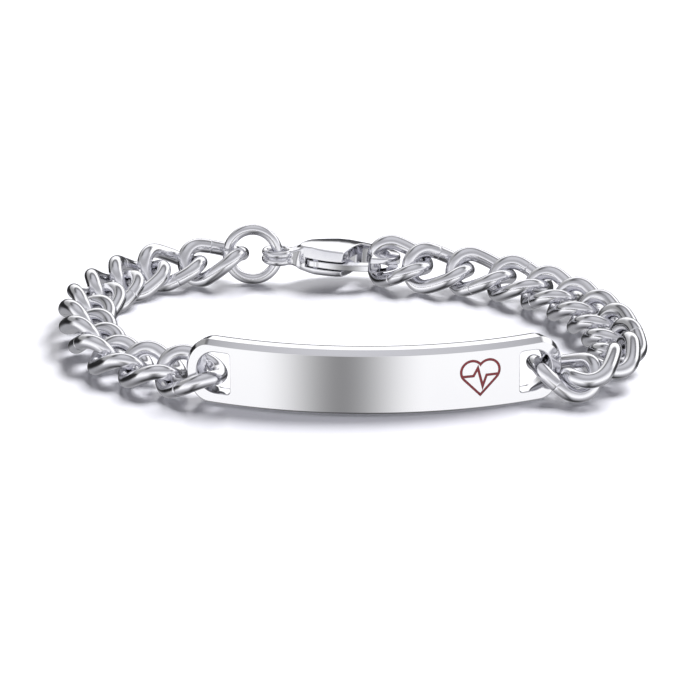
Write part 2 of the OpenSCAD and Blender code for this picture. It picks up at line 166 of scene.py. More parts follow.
# Camera: its lens and shift are in pixels of the picture, and its distance in metres.
PICTURE, LENS, LENS_SHIFT, FILM = 700.0, 3297.0, 11.5, 36.0
CAMERA_LIFT, CAMERA_AWAY, CAMERA_AIM = 18.8, 0.420, (0.145, -11.227, 4.0)

# Lamp and table, in metres
LAMP_PLACE, LAMP_SIZE, LAMP_WATTS = (0.74, 0.82, 1.34), 0.95, 60.0
TABLE_REACH = 3


def linear(code):
    """The linear colour of an sRGB hex value."""
    parts = [int(code[i:i + 2], 16) / 255 for i in (1, 3, 5)]
    return tuple(p / 12.92 if p <= 0.04045 else ((p + 0.055) / 1.055) ** 2.4 for p in parts) + (1.0,)


def turned(x, y, angle):
    """A flat point turned anticlockwise about the origin."""
    c, s = math.cos(math.radians(angle)), math.sin(math.radians(angle))
    return x * c - y * s, x * s + y * c


# Materials

def add_node(tree, kind, settings=None, links=None):
    """Adds a node, gives it its settings and joins the links to its sockets."""
    made = tree.nodes.new(kind)
    for name, value in (settings or {}).items():
        if isinstance(name, str) and hasattr(made, name):
            setattr(made, name, value)
        else:
            made.inputs[name].default_value = value
    for name, source in (links or {}).items():
        tree.links.new(source, made.inputs[name])
    return made


def new_material(name):
    made = bpy.data.materials.new(name)
    made.use_nodes = True
    made.node_tree.nodes.clear()
    return made


def finish_material(made, settings, links):
    shader = add_node(made.node_tree, "ShaderNodeBsdfPrincipled", settings, links)
    add_node(made.node_tree, "ShaderNodeOutputMaterial", None, {"Surface": shader.outputs["BSDF"]})
    return made


def millimetres(tree):
    """The piece's own coordinates, in millimetres."""
    place = add_node(tree, "ShaderNodeTexCoord")
    return add_node(tree, "ShaderNodeVectorMath", {"operation": "SCALE", "Scale": 1000.0},
                    {0: place.outputs["Object"]}).outputs[0]


def polished_steel(name, light, dark, rough, ripple_size, ripple, grit):
    """Stainless steel buffed to a mirror: bright, faintly rippled, with fine buffing marks. The
    ripples' size and height and the marks' grit are in millimetres."""
    made = new_material(name)
    tree = made.node_tree
    place = millimetres(tree)
    waves = add_node(tree, "ShaderNodeTexNoise", {"Scale": 1.0 / ripple_size, "Detail": 1.5},
                     {"Vector": place})
    marks = add_node(tree, "ShaderNodeTexNoise", {"Scale": 1.0 / grit, "Detail": 3.0}, {"Vector": place})
    tone = add_node(tree, "ShaderNodeMixRGB", {"Color1": linear(light), "Color2": linear(dark)},
                    {"Fac": waves.outputs["Fac"]})
    gloss = add_node(tree, "ShaderNodeMapRange",
                     {"From Min": 0.3, "From Max": 0.7, "To Min": rough * 0.9, "To Max": rough * 1.1},
                     {"Value": marks.outputs["Fac"]})
    low = add_node(tree, "ShaderNodeBump", {"Strength": 1.0, "Distance": ripple * MM},
                   {"Height": waves.outputs["Fac"]})
    return finish_material(made, {"Metallic": 1.0}, {
        "Base Color": tone.outputs["Color"], "Roughness": gloss.outputs["Result"],
        "Normal": low.outputs["Normal"]})


# Plate: sheet steel, stamped, bent and buffed flat. It gives long calm reflections.
plate_steel = polished_steel("mirror_polished_plate", "#f2f2f4", "#ececf0",
                             rough=0.07, ripple_size=9.0, ripple=0.004, grit=0.25)
# Links and ring: drawn steel wire, tumbled bright. It gives narrow streaks along the wire.
wire_steel = polished_steel("tumbled_bright_wire", "#f0f0f3", "#e9e9ee",
                            rough=0.15, ripple_size=1.6, ripple=0.0015, grit=0.3)
# Clasp: cast steel, filed and buffed, a little softer in its hollows.
cast_steel = polished_steel("buffed_cast_steel", "#f0f0f3", "#e2e2e8",
                            rough=0.10, ripple_size=1.2, ripple=0.006, grit=0.3)


def red_enamel():
    """Hard enamel, filled and stoned flush: a dark wine red with a glassy face."""
    made = new_material("hard_red_enamel")
    tree = made.node_tree
    cloud = add_node(tree, "ShaderNodeTexNoise", {"Scale": 1.0 / ENAMEL_CLOUD, "Detail": 2.0},
                     {"Vector": millimetres(tree)})
    tone = add_node(tree, "ShaderNodeMixRGB", {"Color1": linear("#84141f"), "Color2": linear("#9c1c2a")},
                    {"Fac": cloud.outputs["Fac"]})
    bump = add_node(tree, "ShaderNodeBump", {"Strength": 0.3, "Distance": ENAMEL_WAVE * MM},
                    {"Height": cloud.outputs["Fac"]})
    gloss = {"Roughness": 0.3, "IOR": 1.5, "Coat Weight": 0.3, "Coat Roughness": 0.1}
    return finish_material(made, gloss, {
        "Base Color": tone.outputs["Color"], "Normal": bump.outputs["Normal"]})


enamel = red_enamel()


def white_table():
    """Lacquered white board: it throws back a soft, short likeness of what stands on it."""
    made = new_material("lacquered_white_board")
    tree = made.node_tree
    tooth = add_node(tree, "ShaderNodeTexNoise", {"Scale": 1.0 / BOARD_TOOTH, "Detail": 2.0},
                     {"Vector": millimetres(tree)})
    tone = add_node(tree, "ShaderNodeMixRGB", {"Color1": linear("#f0f0f8"), "Color2": linear("#f4f4fa")},
                    {"Fac": tooth.outputs["Fac"]})
    return finish_material(made, {"Metallic": 0.25, "Roughness": 0.3},
                           {"Base Color": tone.outputs["Color"]})


# Meshes

class Net:
    """Points with their normals, and the faces between them."""

    def __init__(self):
        self.points, self.normals, self.faces = [], [], []

    def add(self, point, normal):
        self.points.append(point)
        self.normals.append(normal)
        return len(self.points) - 1


def facing(face, points, normals):
    """The face's corners in the order that turns it the way its normals point."""
    a, b, c = (points[i] for i in (face[0], face[1], face[-1]))
    way = (b - a).cross(c - a)
    return face if way.dot(sum((normals[i] for i in face), Vector((0, 0, 0)))) > 0 else face[::-1]


def new_piece(name, points, faces, finish, body, nodes, normals=None):
    """Makes a smooth-shaded piece from millimetre points, puts it under its body and hides the parts that
    it stands in for.
    """
    mesh = bpy.data.meshes.new(name)
    if normals:
        faces = [facing(face, points, normals) for face in faces]
    mesh.from_pydata([Vector(p) * MM for p in points], [], faces)
    mesh.polygons.foreach_set("use_smooth", [True] * len(mesh.polygons))
    if normals:
        mesh.normals_split_custom_set_from_vertices([Vector(n).normalized() for n in normals])
    mesh.validate(clean_customdata=False)
    mesh.materials.append(finish)
    piece = bpy.data.objects.new(name, mesh)
    bpy.context.scene.collection.objects.link(piece)
    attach(piece, body)
    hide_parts(*nodes)
    return piece


def tube_faces(rings, sides, closed):
    """Faces of a tube whose points lie in rings."""
    last = rings if closed else rings - 1
    return [(i * sides + j, (i + 1) % rings * sides + j,
             (i + 1) % rings * sides + (j + 1) % sides, i * sides + (j + 1) % sides)
            for i in range(last) for j in range(sides)]


# Where the plate lies, seen from above: s runs along its face, and depth runs into it

def plate_centre(fit):
    """The centre of the arc that the plate's face follows."""
    x, y = turned(0, PLATE_RADIUS, PLATE_TURN)
    return fit * PLATE_PLACE[0] + x, fit * PLATE_PLACE[1] + y


def plate_angle(s):
    """How far the plate is turned at s along it."""
    return PLATE_TURN + math.degrees(s / PLATE_RADIUS)


def plate_point(s, depth, fit=FIT):
    x, y = turned(0, depth - PLATE_RADIUS, plate_angle(s))
    cx, cy = plate_centre(fit)
    return cx + x, cy + y


# Chain routes

def smooth(a, b, c, d, f):
    """A point between b and c, on the smooth line through four points."""
    return tuple((2 * q + (r - p) * f + (2 * p - 5 * q + 4 * r - s) * f * f
                  + (3 * q - p - 3 * r + s) * f ** 3) / 2 for p, q, r, s in zip(a, b, c, d))


def smooth_route(rows, steps=6):
    """The rows with smooth steps put in between."""
    last = len(rows) - 1
    made = [smooth(rows[max(i - 1, 0)], rows[i], rows[i + 1], rows[min(i + 2, last)], k / steps)
            for i in range(last) for k in range(steps)]
    return made + [rows[last]]


def route_at(route, length):
    """The point, with its roll, at a length along the route."""
    gone = 0.0
    for a, b in zip(route, route[1:]):
        step = math.dist(a[:2], b[:2])
        if gone + step >= length or b is route[-1]:
            f = min((length - gone) / step, 1.0)
            return tuple(p + (q - p) * f for p, q in zip(a, b))
        gone += step


def hang_heading(hang):
    """The way that a hung link points, seen from above."""
    return turned(1, 0, hang.heading)


def hang_middle(side, hang):
    """Middle of the link that hangs on the bar at the plate's right end (1) or left end (-1)."""
    s = side * (PLATE_LENGTH / 2 - BAR_WIDTH / 2)
    along, out = turned(1, 0, plate_angle(s)), turned(0, 1, plate_angle(s))
    return tuple(p + side * hang.along * a - hang.out * o + side * END_REACH * h
                 for p, a, o, h in zip(plate_point(s, PLATE_THICKNESS / 2), along, out, hang_heading(hang)))


def chain_route(side, hang, route):
    """A chain's smooth route, from the link on the bar outwards."""
    head, middle = hang_heading(hang), hang_middle(side, hang)
    first = tuple(m - side * LINK_PITCH / 2 * h for m, h in zip(middle, head)) + (route[0][2],)
    return smooth_route([first] + [(FIT * x, FIT * y, roll) for x, y, roll in route])


right_route = chain_route(1, RIGHT_HANG, RIGHT_ROUTE)
left_route = chain_route(-1, LEFT_HANG, LEFT_ROUTE)

# The chains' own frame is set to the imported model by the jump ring.
left_end = route_at(left_route, LEFT_LINKS * LINK_PITCH)
ring_x = left_end[0] + JOINT_LAP - (LINK_WIRE + RING_WIRE) / 2 - RING_PLAY + RING_MEAN
ring_low, ring_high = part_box("jump_ring")
ring_middle = (ring_low + ring_high) / 2 / MM
SHIFT = Vector((ring_middle.x - ring_x, ring_middle.y - left_end[1], 0))
CLASP_PLACE = Vector((ring_x + RING_MEAN, left_end[1], RING_HEIGHT - CLASP_SAG)) + SHIFT


# Plate with its slots and the groove for the heart

def filleted(corners, radius, steps):
    """A row of points along a line of corners rounded by a radius, each with its normal."""
    made = []
    for (ax, ay), (x, y), (bx, by) in zip(corners, corners[1:], corners[2:]):
        d1 = Vector((x - ax, y - ay)).normalized()
        d2 = Vector((bx - x, by - y)).normalized()
        back = radius * math.tan(d1.angle(d2) / 2)
        n1, n2 = Vector((-d1.y, d1.x)), Vector((-d2.y, d2.x))
        start = Vector((x, y)) - d1 * back
        sense = 1.0 if d1.x * d2.y - d1.y * d2.x > 0 else -1.0
        centre = start + n1 * radius * sense
        for i in range(steps + 1):
            n = n1.lerp(n2, i / steps).normalized()
            made.append((centre - n * radius * sense, n))
    return made


def edge_profile(chamfer):
    """From the front face round the edge to the back: how far out, how deep, and the normal."""
    corners = [(-2 * chamfer, 0), (-chamfer, 0), (0, chamfer)]
    corners += [(-back, PLATE_THICKNESS - short) for back, short in BACK_EDGE]
    return [(p.x, p.y, -n.x, -n.y) for p, n in filleted(corners, CORNER_ROUND, CORNER_STEPS)]


def rim_chamfer(out):
    """The face's bevel, wide along the top edge and narrow along the foot."""
    return (TOP_CHAMFER + FOOT_CHAMFER) / 2 + (TOP_CHAMFER - FOOT_CHAMFER) / 2 * out.y


def plate_outline():
    """Outline along the face and up it, from the lower right, with the way out at each point."""
    half, end = PLATE_HEIGHT / 2, PLATE_LENGTH / 2 - PLATE_END
    made = []
    for side in (1, -1):
        for k in range(END_STEPS + 1):
            a = side * (-math.pi / 2 + math.pi * k / END_STEPS)
            x, y = side * PLATE_END * math.cos(a), half * math.sin(a)
            n = Vector((math.cos(a) * side / PLATE_END, math.sin(a) / half)).normalized()
            made.append((Vector((side * end + x, y)), n))
        straight = 2 * end
        count = int(straight / FACE_STEP)
        for k in range(1, count):
            made.append((Vector((side * (end - straight * k / count), side * half)), Vector((0, side))))
    return made


def slot_outline(side):
    """A slot's outline, with the way into the hole at each point."""
    made = []

    def arc(cx, cy, radius, start, end, steps):
        for k in range(steps + 1):
            a = math.radians(start + (end - start) * k / steps)
            n = Vector((math.cos(a), math.sin(a)))
            made.append((Vector((cx, cy)) + n * radius, -n))

    flat = SLOT_ROUND - SLOT_CORNER
    arc(SLOT_MIDDLE, 0, SLOT_ROUND, -90, 90, 4 * SLOT_STEPS)
    arc(SLOT_INNER + SLOT_CORNER, flat, SLOT_CORNER, 90, 180, SLOT_STEPS)
    for k in range(1, SLOT_STEPS):
        made.append((Vector((SLOT_INNER, flat * (1 - 2 * k / SLOT_STEPS))), Vector((1, 0))))
    arc(SLOT_INNER + SLOT_CORNER, -flat, SLOT_CORNER, 180, 270, SLOT_STEPS)
    if side < 0:
        made = [(Vector((-p.x, p.y)), Vector((-n.x, n.y))) for p, n in made]
    return made


def lobe(g, steps=24):
    """Points round one lobe of the heart, grown by g, as far as the cleft."""
    r = HEART_LOBE / 2
    cleft = 1.5 * r + math.sqrt((r + g) ** 2 / 2 - r * r / 4)
    last = math.atan2(cleft - r, cleft - 2 * r)
    for k in range(steps + 1):
        a = -math.pi / 2 + (last + math.pi / 2) * k / steps
        yield 2 * r + (r + g) * math.cos(a), r + (r + g) * math.sin(a)


def heart(g):
    """The heart's outline on the plate's face, grown by g."""
    one = list(lobe(g))
    both = [(-g, -g)] + one + [(y, x) for x, y in one[-2::-1]]
    drop = HEART_LOBE * (1 + 1.5 * math.sqrt(2)) / 4
    return [Vector(turned(x, y, 45)) + Vector((HEART_PLACE, -drop)) for x, y in both]


def pulse(width):
    """The outline of the pulse line, as wide as given, with its corners mitred."""
    points = [Vector(p) for p in PULSE]
    ways = [(b - a).normalized() for a, b in zip(points, points[1:])]
    ways = [ways[0]] + ways + [ways[-1]]
    made = []
    for sign in (1, -1):
        row = []
        for p, d1, d2 in zip(points, ways, ways[1:]):
            n1, n2 = Vector((-d1.y, d1.x)), Vector((-d2.y, d2.x))
            row.append(p + sign * width / 2 * (n1 + n2) / (1 + n1.dot(n2)) + Vector((HEART_PLACE, 0)))
        made += row[::sign]
    return made


def heart_loops(gap):
    """The heart line's outlines, with the line wider by a gap at each side."""
    return [heart(gap), heart(-LINE_WIDTH - gap), pulse(LINE_WIDTH + 2 * gap)]


def inside(point, loop):
    """Whether a point lies inside a closed outline."""
    hit = False
    for a, b in zip(loop, loop[1:] + loop[:1]):
        if (a.y > point.y) != (b.y > point.y):
            if point.x < a.x + (b.x - a.x) * (point.y - a.y) / (b.y - a.y):
                hit = not hit
    return hit


def in_heart_line(point, loops):
    """Whether a point lies on the heart's line or on the pulse line across it."""
    outer, inner, line = loops
    return inside(point, outer) and (not inside(point, inner) or inside(point, line))


def cut_sheet(loops, spots=()):
    """Triangles between loops and spots on a flat sheet, with the loops kept as edges."""
    points, edges = [], []
    for loop in loops:
        first = len(points)
        points += loop
        edges += [(first + k, first + (k + 1) % len(loop)) for k in range(len(loop))]
    points += spots
    made, _, faces, origin, _, _ = delaunay_2d_cdt(points, edges, [], 0, 1e-6)
    return made, [anticlockwise(face, made) for face in faces], origin


def anticlockwise(face, points):
    """A flat face's corners, anticlockwise."""
    a, b, c = (points[i] for i in face[:3])
    return list(face) if (b - a).cross(c - a) > 0 else list(face)[::-1]


def middle_of(face, points):
    return sum((points[i] for i in face), Vector((0, 0))) / len(face)


def on_plate(s, h, depth):
    """The point at s along the plate, h above its middle and so deep in it."""
    x, y = plate_point(s, depth)
    return Vector((x, y, h + PLATE_HEIGHT / 2)) + SHIFT


def plate_way(s, along, up, inward):
    """A direction at s along the plate."""
    ax, ay = turned(1, 0, plate_angle(s))
    ix, iy = turned(0, 1, plate_angle(s))
    return Vector((along * ax + inward * ix, along * ay + inward * iy, up))


def add_rim(net, rim, rows):
    """The rounded edge along a rim. Gives its points on the front and on the back."""
    first, count = len(net.points), len(rim)
    for i in range(len(rows[0])):
        for (p, n), row in zip(rim, rows):
            out, depth, n_out, n_deep = row[i]
            q = p + n * out
            net.add(on_plate(q.x, q.y, depth), plate_way(q.x, n.x * n_out, n.y * n_out, n_deep))
    for i in range(len(rows[0]) - 1):
        for k in range(count):
            m = (k + 1) % count
            net.faces.append((first + i * count + k, first + i * count + m,
                              first + (i + 1) * count + m, first + (i + 1) * count + k))
    last = first + (len(rows[0]) - 1) * count
    return list(range(first, first + count)), list(range(last, last + count))


def add_layer(net, made, faces, depth, way, known=None):
    """Faces of a cut sheet at a depth in the plate, on the points that are known already."""
    at = dict(known or {})
    for face in faces:
        for i in face:
            if i not in at:
                at[i] = net.add(on_plate(made[i].x, made[i].y, depth), plate_way(made[i].x, 0, 0, way))
        net.faces.append([at[i] for i in face])


def add_walls(net, made, faces, high, low, side):
    """Walls round a cut sheet's faces: they face in over it (side 1) or away from it (side -1)."""
    edges = {}
    for face in faces:
        for i, j in zip(face, face[1:] + face[:1]):
            if (j, i) in edges:
                del edges[(j, i)]
            else:
                edges[(i, j)] = True
    for i, j in edges:
        d = (made[j] - made[i]).normalized()
        n = plate_way(made[i].x, -side * d.y, side * d.x, 0)
        base = [net.add(on_plate(made[k].x, made[k].y, depth), n)
                for k, depth in ((i, high), (j, high), (j, low), (i, low))]
        net.faces.append((base[0], base[3], base[2], base[1]))


def make_plate():
    rims = [plate_outline(), slot_outline(1), slot_outline(-1)]
    net = Net()
    fronts, backs, insets = [], [], []
    for rim in rims:
        rows = [edge_profile(rim_chamfer(n) if rim is rims[0] else SLOT_CHAMFER) for p, n in rim]
        front, back = add_rim(net, rim, rows)
        fronts += front
        backs += back
        insets.append([p + n * row[0][0] for (p, n), row in zip(rim, rows)])

    def keep(point):
        return inside(point, insets[0]) and not inside(point, insets[1]) and not inside(point, insets[2])

    def clear_of_rims(point):
        return all((point - q).length > FACE_STEP / 2 for loop in insets for q in loop)

    spots = [Vector((s * FACE_STEP, h * FACE_STEP))
             for s in range(-FACE_LONG, FACE_LONG + 1) for h in range(-FACE_HIGH, FACE_HIGH + 1)]
    spots = [p for p in spots if keep(p) and clear_of_rims(p)]
    groove = heart_loops(INLAY_GAP)
    for loops, rim_points, depth, way in ((insets + groove, fronts, 0.0, -1),
                                          (insets, backs, PLATE_THICKNESS, 1)):
        made, faces, origin = cut_sheet(loops, spots)
        # Where the sheet meets the rounded edges, it takes over their points.
        known = {}
        for i, olds in enumerate(origin):
            on_rim = [rim_points[o] for o in olds if o < len(rim_points)]
            if on_rim:
                known[i] = on_rim[0]
        faces = [f for f in faces if keep(middle_of(f, made))]
        sunk = [f for f in faces if way < 0 and in_heart_line(middle_of(f, made), groove)]
        add_layer(net, made, [f for f in faces if f not in sunk], depth, way, known)
        add_layer(net, made, sunk, INLAY_DEPTH, way)
        add_walls(net, made, sunk, 0.0, INLAY_DEPTH, 1)
    new_piece("curved_plate", net.points, net.faces, plate_steel, "bracelet", ["id_plate"],
              normals=net.normals)


def make_heart():
    """The enamel line, a hair below the plate's face."""
    loops = heart_loops(0)
    made, faces, _ = cut_sheet(loops)
    faces = [f for f in faces if in_heart_line(middle_of(f, made), loops)]
    net = Net()
    foot = INLAY_DEPTH - INLAY_GAP
    add_layer(net, made, faces, INLAY_SKIN, -1)
    add_layer(net, made, faces, foot, 1)
    add_walls(net, made, faces, INLAY_SKIN, foot, -1)
    new_piece("heart_enamel", net.points, net.faces, enamel, "bracelet", ["heart_inlay"],
              normals=net.normals)


# Jump ring

def make_ring():
    """Round wire bent to a ring, with its two sawn ends facing each other."""
    gap = math.asin(RING_SEAM / RING_MEAN)
    start = math.pi - math.radians(RING_CUT_RISE) + gap / 2
    lean = math.radians(90 - RING_LEAN)
    place = Vector((ring_x, left_end[1], RING_HEIGHT)) + SHIFT
    full, corner = RING_WIRE / 2, RING_EASE * EASE_BEND
    rows = [(0.0, full - RING_EASE), (corner, full - corner), (RING_EASE, full)]
    length = (2 * math.pi - gap) * RING_MEAN
    stations = rows + [(length * k / RING_STEPS, full) for k in range(1, RING_STEPS)]
    stations += [(length - d, r) for d, r in rows[::-1]]
    points = []
    for d, r in stations:
        a = start + d / RING_MEAN
        for j in range(RING_SIDES):
            w = 2 * math.pi * j / RING_SIDES
            out = RING_MEAN + r * math.cos(w)
            flat = Vector((out * math.cos(a), out * math.sin(a), r * math.sin(w)))
            points.append(Matrix.Rotation(lean, 3, "X") @ flat + place)
    last = (len(stations) - 1) * RING_SIDES
    faces = tube_faces(len(stations), RING_SIDES, False)
    faces.append(tuple(range(RING_SIDES)))
    faces.append(tuple(range(last, last + RING_SIDES))[::-1])
    piece = new_piece("sawn_jump_ring", points, faces, wire_steel, "bracelet", ["jump_ring"])
    for face in piece.data.polygons:
        if len(face.vertices) > 4:
            face.use_smooth = False


# Clasp, as rounded solids: each form gives the distance out of a solid, or near it

def blunt_union(a, b, r):
    """Both solids, with a fillet of about r where they meet."""
    h = np.maximum(r - np.abs(a - b), 0.0) / r
    return np.minimum(a, b) - h * h * r / 4


def blunt_common(a, b, r):
    """What two solids share, with the edge between them eased by about r."""
    return -blunt_union(-a, -b, r)


def egg(x, y, inset):
    """The clasp's egg-shaped outline, drawn in by an inset."""
    far, long = x - BODY_MIDDLE, BODY_LENGTH / 2 - inset
    wide = (BODY_WIDTH / 2 - inset) * (1 + BODY_FLARE * np.clip(far / long, -1, 1))
    k = np.sqrt((far / long) ** 2 + (y / wide) ** 2) + TINY
    return k * (k - 1) / (np.sqrt((far / long ** 2) ** 2 + (y / wide ** 2) ** 2) + TINY)


def hoop(x, y, z, middle, wire):
    """A ring of round wire about the eye's hole."""
    return np.hypot(np.hypot(x, y) - middle, z) - wire


def from_pivot(x, y, radius):
    """A round about the lever's pin."""
    return np.hypot(x - PIVOT[0], y - PIVOT[1]) - radius


def shell_form(x, y, z):
    """The body before anything is cut from it: an egg with a crowned top and a rounder foot."""
    lean = SIDE_LEAN * np.clip((z + LEAN_FOOT) / LEAN_HEIGHT, 0, 1) ** 1.5
    top = z - np.interp(x, *zip(*RISE)) + y * y / TOP_CROWN
    under = -z - np.interp(x, *zip(*FALL)) + y * y / FOOT_CROWN
    return blunt_common(blunt_common(egg(x, y, lean), top, TOP_EDGE), under, FOOT_EDGE)


def mouth_form(x, y):
    """The hook's opening, and the window that the lever closes."""
    past_wall = WALL_WAY[0] * (x - WALL_SPOT[0]) + WALL_WAY[1] * (y - WALL_SPOT[1])
    mouth = np.maximum(egg(x, y, HOOK_METAL), -past_wall)
    window = np.maximum(np.maximum(-past_wall, y), from_pivot(x, y, TIP_REACH) - LEVER_GAP)
    return np.minimum(mouth, window)


def lever_slot_form(x, y, z):
    """The slot in the body in which the lever turns."""
    wall = np.maximum(SLOT_START - x, y - SLOT_TOP)
    plan = np.minimum(from_pivot(x, y, PIVOT_RADIUS) - LEVER_GAP, wall)
    return np.maximum(plan, np.abs(z + LEVER_DROP) - LEVER_THICKNESS / 2 - LEVER_GAP)


def neck_form(x, y, z):
    """The metal between the eye and the body, with the eye's hole kept open."""
    flare = NECK_HEIGHT + NECK_GAIN * np.clip((x - GAIN_START) / GAIN_REACH, 0, 1)
    sides = np.maximum(np.abs(y) - NECK_SIDE, NECK_START - x)
    neck = blunt_common(sides, np.maximum(np.abs(z) - flare, x - NECK_END), NECK_EDGE)
    return np.maximum(neck, EYE_HOLE - np.hypot(x, y))


def clasp_body_form(x, y, z):
    """The body with its mouth and slot cut, and its eye of two hoops side by side."""
    solid = blunt_common(shell_form(x, y, z), -mouth_form(x, y), MOUTH_EDGE)
    solid = blunt_common(solid, -lever_slot_form(x, y, z), SLOT_EDGE)
    eye = blunt_union(hoop(x, y, z - EYE_LIFT, EYE_MEAN, EYE_WIRE),
                      hoop(x, y, z + EYE_LIFT, EYE_MEAN, EYE_WIRE), HOOP_FILLET)
    return blunt_union(blunt_union(solid, neck_form(x, y, z), NECK_FILLET), eye, EYE_FILLET)


def clasp_lever_form(x, y, z):
    """The lever: a strip along the body's outline, with a round at the pin."""
    strip = np.maximum(egg(x, y, LEVER_SKIN), -egg(x, y, HOOK_METAL - LEVER_TRIM))
    strip = np.maximum(strip, np.maximum(PIVOT[0] - x, y - LEVER_TOP))
    strip = np.maximum(strip, from_pivot(x, y, TIP_REACH))
    plan = blunt_union(strip, from_pivot(x, y, PIVOT_RADIUS), LEVER_FILLET)
    flat = np.abs(z + LEVER_DROP) - LEVER_THICKNESS / 2
    return blunt_common(plan, flat, LEVER_EDGE)


def clasp_turn():
    """How the clasp lies: its hinge gives the fall, and the way that the hinge leans the heading."""
    up = Vector(frame["joints"][0]["axis"]).normalized()
    if up.z < 0:
        up = -up
    fall = math.atan2(math.hypot(up.x, up.y), up.z)
    heading = math.atan2(up.y, up.x)
    return Matrix.Rotation(heading, 3, "Z") @ Matrix.Rotation(fall, 3, "Y")


def slopes(form, points, step=0.01):
    """The way out of a solid at each point."""
    made = np.stack([form(*(points + e).T) - form(*(points - e).T) for e in np.eye(3) * step], -1)
    return made / (2 * step)


def skin(form, low, high, step):
    """A net of four-sided faces drawn tight over a solid, with its normals: one point in each
    cell that the skin crosses. The points are pulled to the skin, and evened out in between."""
    ways = [np.arange(a, b + step, step) for a, b in zip(low, high)]
    grid = np.meshgrid(*ways, indexing="ij")
    solid = form(*[g.ravel() for g in grid]).reshape(grid[0].shape) < 0
    nx, ny, nz = (n - 1 for n in solid.shape)
    count = sum(solid[i:nx + i, j:ny + j, k:nz + k].astype(int)
                for i in (0, 1) for j in (0, 1) for k in (0, 1))
    mixed = (count > 0) & (count < 8)
    number = np.full(mixed.shape, -1)
    number[mixed] = np.arange(mixed.sum())
    points = np.array(low) + (np.argwhere(mixed) + 0.5) * step
    faces = []
    for axis in range(3):
        u, v = (axis + 1) % 3, (axis + 2) % 3
        start = np.moveaxis(solid, axis, 0)[:-1]
        change = np.moveaxis(start != np.moveaxis(solid, axis, 0)[1:], 0, axis)
        at = np.argwhere(change)
        begins = solid[tuple(at.T)]
        eu, ev = np.eye(3, dtype=int)[u], np.eye(3, dtype=int)[v]
        ring = [number[tuple((at - back).T)] for back in (0 * eu, eu, eu + ev, ev)]
        quad = np.stack(ring, -1)
        faces.append(np.where(begins[:, None], quad, quad[:, ::-1]))
    faces = np.concatenate(faces)
    for turn in range(SKIN_ROUNDS):
        if 0 < turn < SKIN_ROUNDS - 1:
            total, near = np.zeros_like(points), np.zeros(len(points))
            for k in range(4):
                np.add.at(total, faces[:, k], points[faces[:, (k + 1) % 4]] + points[faces[:, k - 1]])
                np.add.at(near, faces[:, k], 2)
            points = total / near[:, None]
        for _ in range(SKIN_PULLS):
            way = slopes(form, points)
            size = np.maximum((way ** 2).sum(1), LEAST_SLOPE)
            points = points - np.clip(form(*points.T) / size, -step, step)[:, None] * way
    return points, faces, slopes(form, points)


def cast_piece(name, form, low, high, step, node, body):
    """A cast piece: its form's skin between two corners, laid where the clasp lies."""
    points, faces, ways = skin(form, low, high, step)
    turn = clasp_turn()
    made = [turn @ Vector(p) + CLASP_PLACE for p in points.tolist()]
    new_piece(name, made, faces.tolist(), cast_steel, body, [node],
              normals=[turn @ Vector(n) for n in ways.tolist()])


def make_clasp():
    """The clasp's body and lever, and the finish of the pin that the lever turns on."""
    cast_piece("cast_clasp_body", clasp_body_form, (-2.5, -4.7, -2.5), (17.5, 4.7, 2.5), BODY_CELL,
               "clasp_body", "bracelet")
    cast_piece("cast_clasp_lever", clasp_lever_form, (3.5, -4.7, -1.0), (13.2, 0.5, 0.6), LEVER_CELL,
               "clasp_lever", "gate")
    pin = frame["nodes"]["clasp_pin"]
    pin.data.materials.clear()
    pin.data.materials.append(cast_steel)


# Links

def loop_point(q):
    """The flat loop of a link's wire, at a length round it: how far along, and how far off its axis."""
    r, c, d = LOOP_WIDTH / 2, END_REACH, q % LOOP_TOTAL
    if d < 2 * c:
        return d - c, r
    if d < 2 * c + LOOP_ROUND:
        a = (d - 2 * c) / r
        return c + r * math.sin(a), r * math.cos(a)
    if d < 4 * c + LOOP_ROUND:
        return c - (d - 2 * c - LOOP_ROUND), -r
    a = (d - 4 * c - LOOP_ROUND) / r
    return -c - r * math.sin(a), -r * math.cos(a)


def link_axes(t, roll):
    """Axes of a link that heads along t and is rolled about it: along, across and through."""
    side = t.cross(Vector((0, 0, 1))).normalized()
    up = side.cross(t)
    a = math.radians(roll)
    across = math.cos(a) * up + math.sin(a) * side
    return t, across, t.cross(across)


def wire_place(axes, twist, q):
    """Middle of the wire at a length round the link, and the way that faces out of the link's flat."""
    along, off = loop_point(q)
    a = math.radians(twist * along / LOOP_LENGTH)
    place = along * axes[0] + off * (math.cos(a) * axes[1] + math.sin(a) * axes[2])
    return place, math.cos(a) * axes[2] - math.sin(a) * axes[1]


def link_wire(t, roll, twist, middle, seam):
    """Middles of a link's wire with its two ways across, what the seam takes off, and a fine line."""
    axes = link_axes(t.normalized(), roll)
    seam_at = seam * LOOP_TOTAL
    places = [LOOP_TOTAL * i / LINK_STEPS for i in range(LINK_STEPS)]
    places = [q for q in places if abs(q - seam_at) > SEAM_CLEAR]
    places += [seam_at + SEAM_WIDTH * k for k in SEAM_ROWS]
    places.sort()
    rows = []
    for q in places:
        place, flat = wire_place(axes, twist, q)
        ahead, behind = (wire_place(axes, twist, q + step)[0] for step in (AIM_STEP, -AIM_STEP))
        along = (ahead - behind).normalized()
        through = (flat - flat.dot(along) * along).normalized()
        rows.append((place, through, along.cross(through)))
    middles, through, across = (np.array([row[k] for row in rows]) for k in range(3))
    dips = np.array([SEAM_DEPTH * math.exp(-((q - seam_at) / (SEAM_WIDTH * 0.5)) ** 2) for q in places])
    fine = np.array([wire_place(axes, twist, LOOP_TOTAL * i / LINE_STEPS)[0] for i in range(LINE_STEPS)])
    round_wire = np.hypot(WIRE_THROUGH * through[:, 2], WIRE_ACROSS * across[:, 2])
    low = (middles[:, 2] - round_wire).min()
    move = np.array([middle[0] + SHIFT.x, middle[1] + SHIFT.y, -low])
    return middles + move, through, across, dips, fine + move


